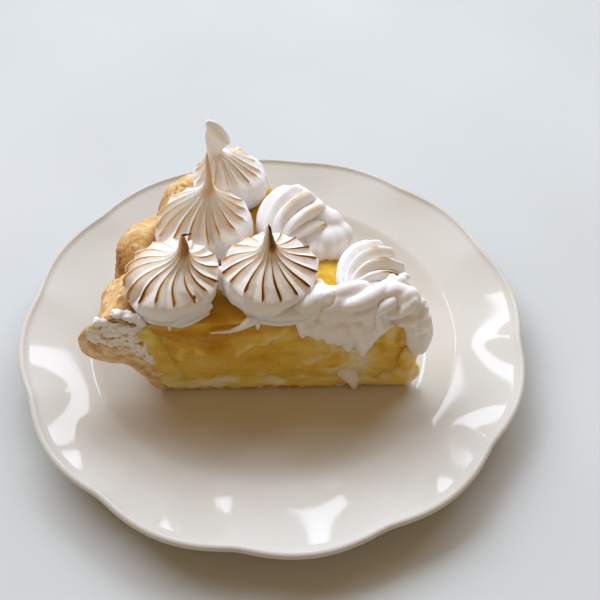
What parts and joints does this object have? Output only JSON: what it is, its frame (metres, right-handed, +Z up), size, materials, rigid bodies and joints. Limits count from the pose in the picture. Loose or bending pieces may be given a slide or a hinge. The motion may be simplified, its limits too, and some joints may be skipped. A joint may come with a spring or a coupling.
{
  "type": "slice of lemon meringue pie on a plate",
  "caption": "Cut slice of lemon meringue pie with a crimped pastry rim, set lemon filling and toasted piped meringue kisses, on a round plate with a lobed edge.",
  "frame": {"origin": "middle of the plate's foot ring, at the table", "axes": "+Z up; -Y is the side the slice's long cut face looks to, +X is the way its point lies"},
  "size_m": [0.205, 0.205, 0.0918],
  "materials": {
    "porcelain": "smooth, glossy off-white glaze",
    "pastry": "dry, flaky, baked golden",
    "lemon": "moist, glossy set filling",
    "meringue": "soft satin foam, toasted brown on the ridges"
  },
  "bodies": {
    "root": {"plate": "porcelain", "crust": "pastry", "lemon_filling": "lemon", "meringue_kiss_front_left": "meringue", "meringue_kiss_front_middle": "meringue", "meringue_kiss_back_left": "meringue", "meringue_kiss_rear": "meringue", "meringue_kiss_back_middle": "meringue", "meringue_kiss_point": "meringue", "meringue_smear": "meringue"}
  },
  "joints": []
}
